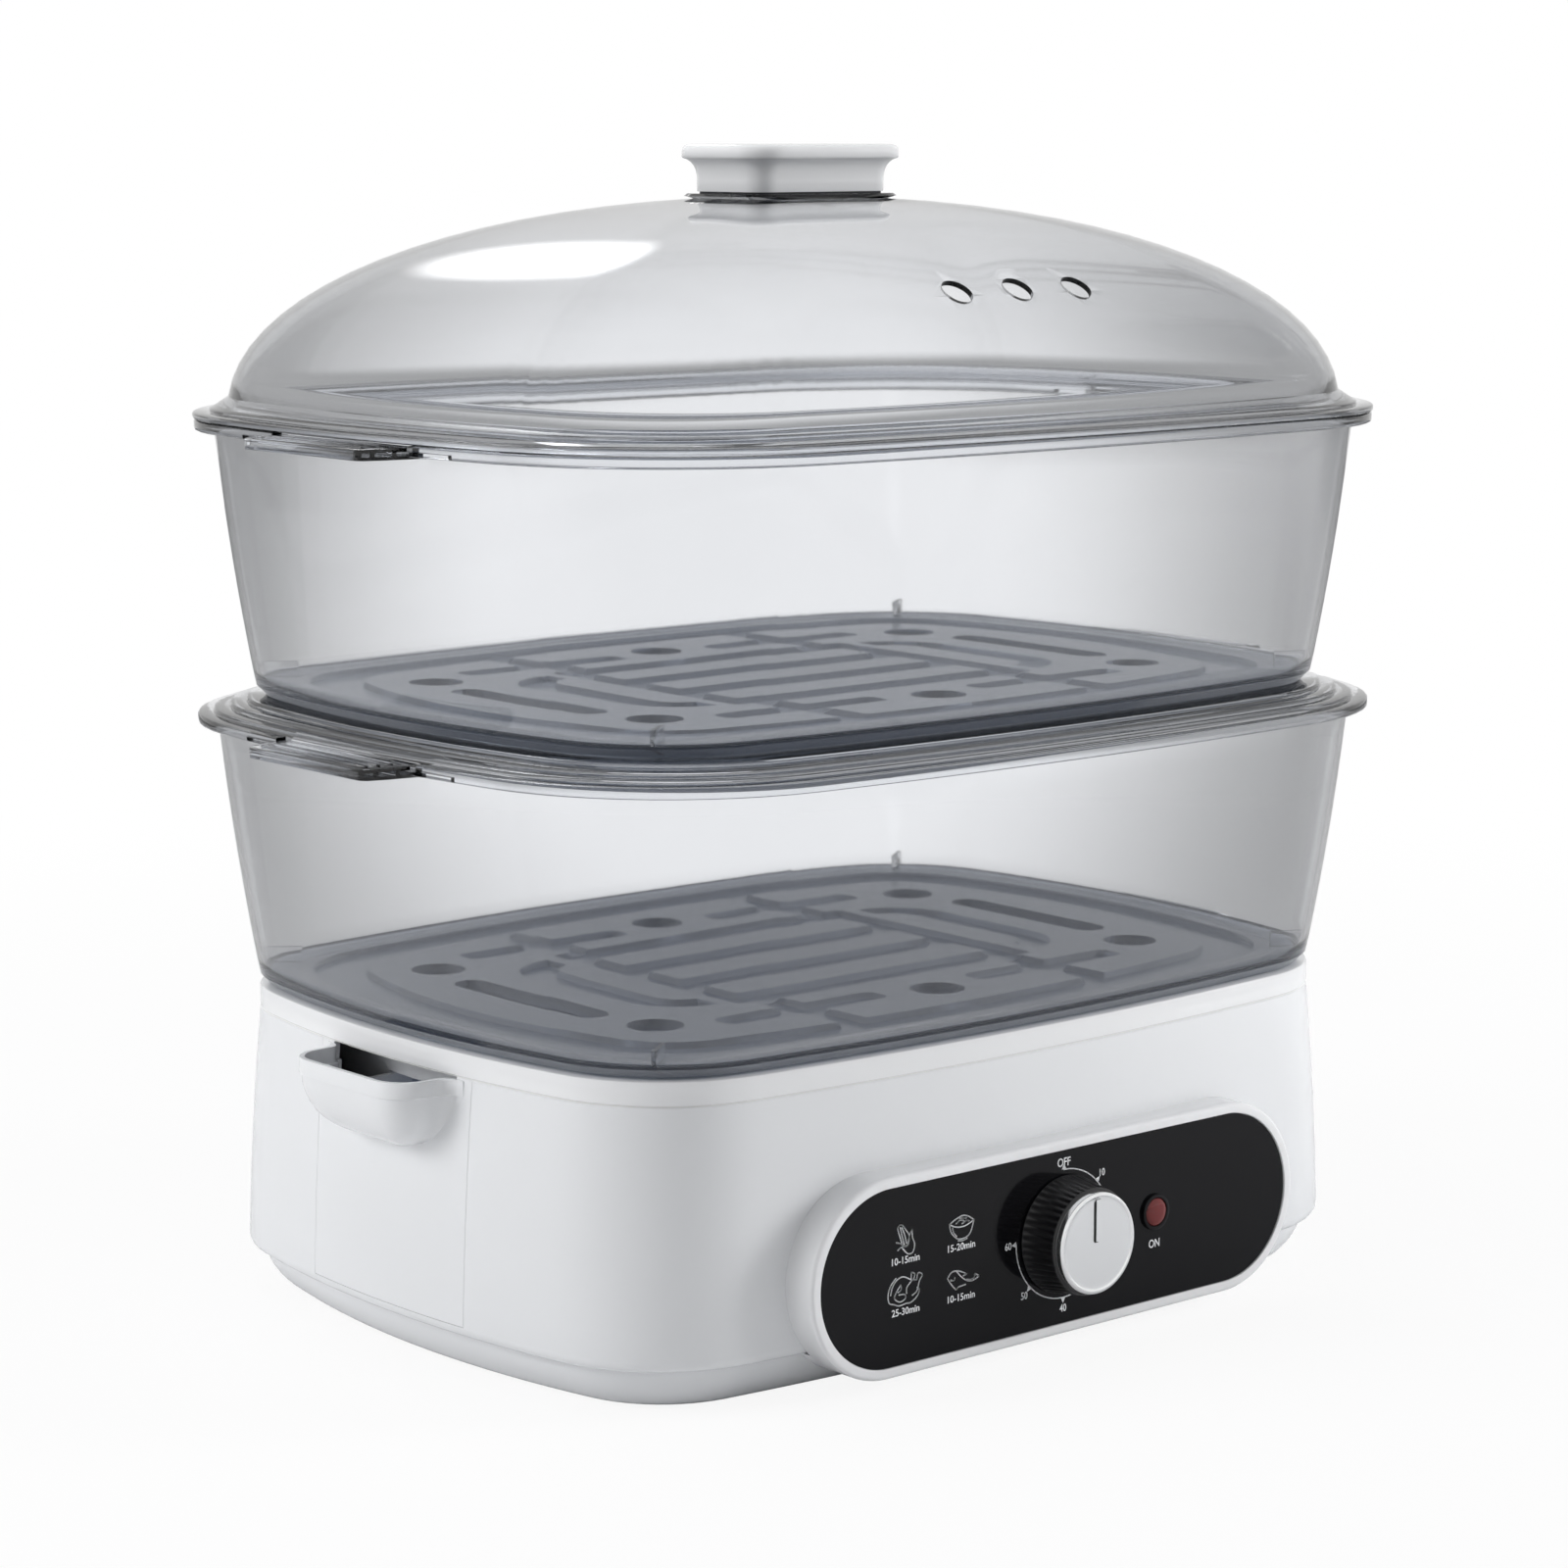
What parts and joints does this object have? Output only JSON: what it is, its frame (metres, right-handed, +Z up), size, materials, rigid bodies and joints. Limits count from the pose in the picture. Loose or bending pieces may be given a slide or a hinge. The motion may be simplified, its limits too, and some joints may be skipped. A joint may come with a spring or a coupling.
{
  "type": "electric food steamer",
  "caption": "Electric food steamer: white base with water tank, side water inlets, timer and lamp, stacking clear baskets with perforated floors and a domed lid with a knob.",
  "frame": {"origin": "on the table, below the middle of the base", "axes": "+Z up, +X to the right along the long side, the control panel faces -Y"},
  "size_m": [0.4288, 0.3197, 0.4132],
  "materials": {
    "smoky_clear": "clear",
    "white_plastic": "gloss",
    "dark_rubber": "matte",
    "steel": "zinc plated",
    "black_gloss": "gloss",
    "black_matte": "satin",
    "silver_satin": "satin",
    "red_lens": "clear",
    "clear_glass": "clear",
    "cast_aluminium": "as cast",
    "sheath_steel": "heat stained",
    "silicone": "matte",
    "ceramic": "matte",
    "natural_plastic": "satin",
    "blue_wire": "satin",
    "brown_wire": "satin"
  },
  "bodies": {
    "base": {"base_housing": "white_plastic", "left_inlet_panel": "white_plastic", "right_inlet_panel": "white_plastic", "bottom_cover": "white_plastic", "rubber_feet": "dark_rubber", "bottom_screws": "steel", "water_tank": "white_plastic", "tank_gasket": "dark_rubber", "panel_bezel": "white_plastic", "panel_fascia": "black_gloss", "timer_case": "black_matte", "timer_bracket": "steel", "timer_screws": "steel", "timer_bell": "steel", "lamp_ring": "black_gloss", "lamp_lens": "red_lens", "neon_lamp": "clear_glass", "heater_plate": "cast_aluminium", "heater_element": "sheath_steel", "heater_seal": "silicone", "heater_clamp": "steel", "heater_screws": "steel", "steam_sleeve": "white_plastic", "thermostat": "ceramic", "thermal_fuse": "steel", "cord_gland": "black_matte", "terminal_block": "natural_plastic", "timer_lead": "blue_wire", "heater_lead": "brown_wire", "lamp_lead": "blue_wire"},
    "timer_dial": {"timer_knob": "black_matte", "timer_knob_cap": "silver_satin", "knob_pointer": "silver_satin", "timer_shaft": "steel"},
    "drip_tray": {"drip_tray": "smoky_clear"},
    "lower_basket": {"lower_basket": "smoky_clear"},
    "upper_basket": {"upper_basket": "smoky_clear"},
    "lid": {"lid": "smoky_clear", "lid_knob": "white_plastic", "lid_knob_washer": "dark_rubber", "lid_knob_screws": "steel"}
  },
  "joints": [
    {"name": "timer_turn", "type": "hinge", "parent": "base", "child": "timer_dial", "pos_m": [0, -0.1516, 0.0401], "axis": [0, 1, 0], "range_deg": [0, 270]},
    {"name": "tray_lift", "type": "slide", "parent": "base", "child": "drip_tray", "axis": [0, 0, 1], "range_m": [0, 0.12]},
    {"name": "lower_basket_lift", "type": "slide", "parent": "drip_tray", "child": "lower_basket", "axis": [0, 0, 1], "range_m": [0, 0.12]},
    {"name": "upper_basket_lift", "type": "slide", "parent": "lower_basket", "child": "upper_basket", "axis": [0, 0, 1], "range_m": [0, 0.12]},
    {"name": "lid_lift", "type": "slide", "parent": "upper_basket", "child": "lid", "axis": [0, 0, 1], "range_m": [0, 0.12]}
  ]
}
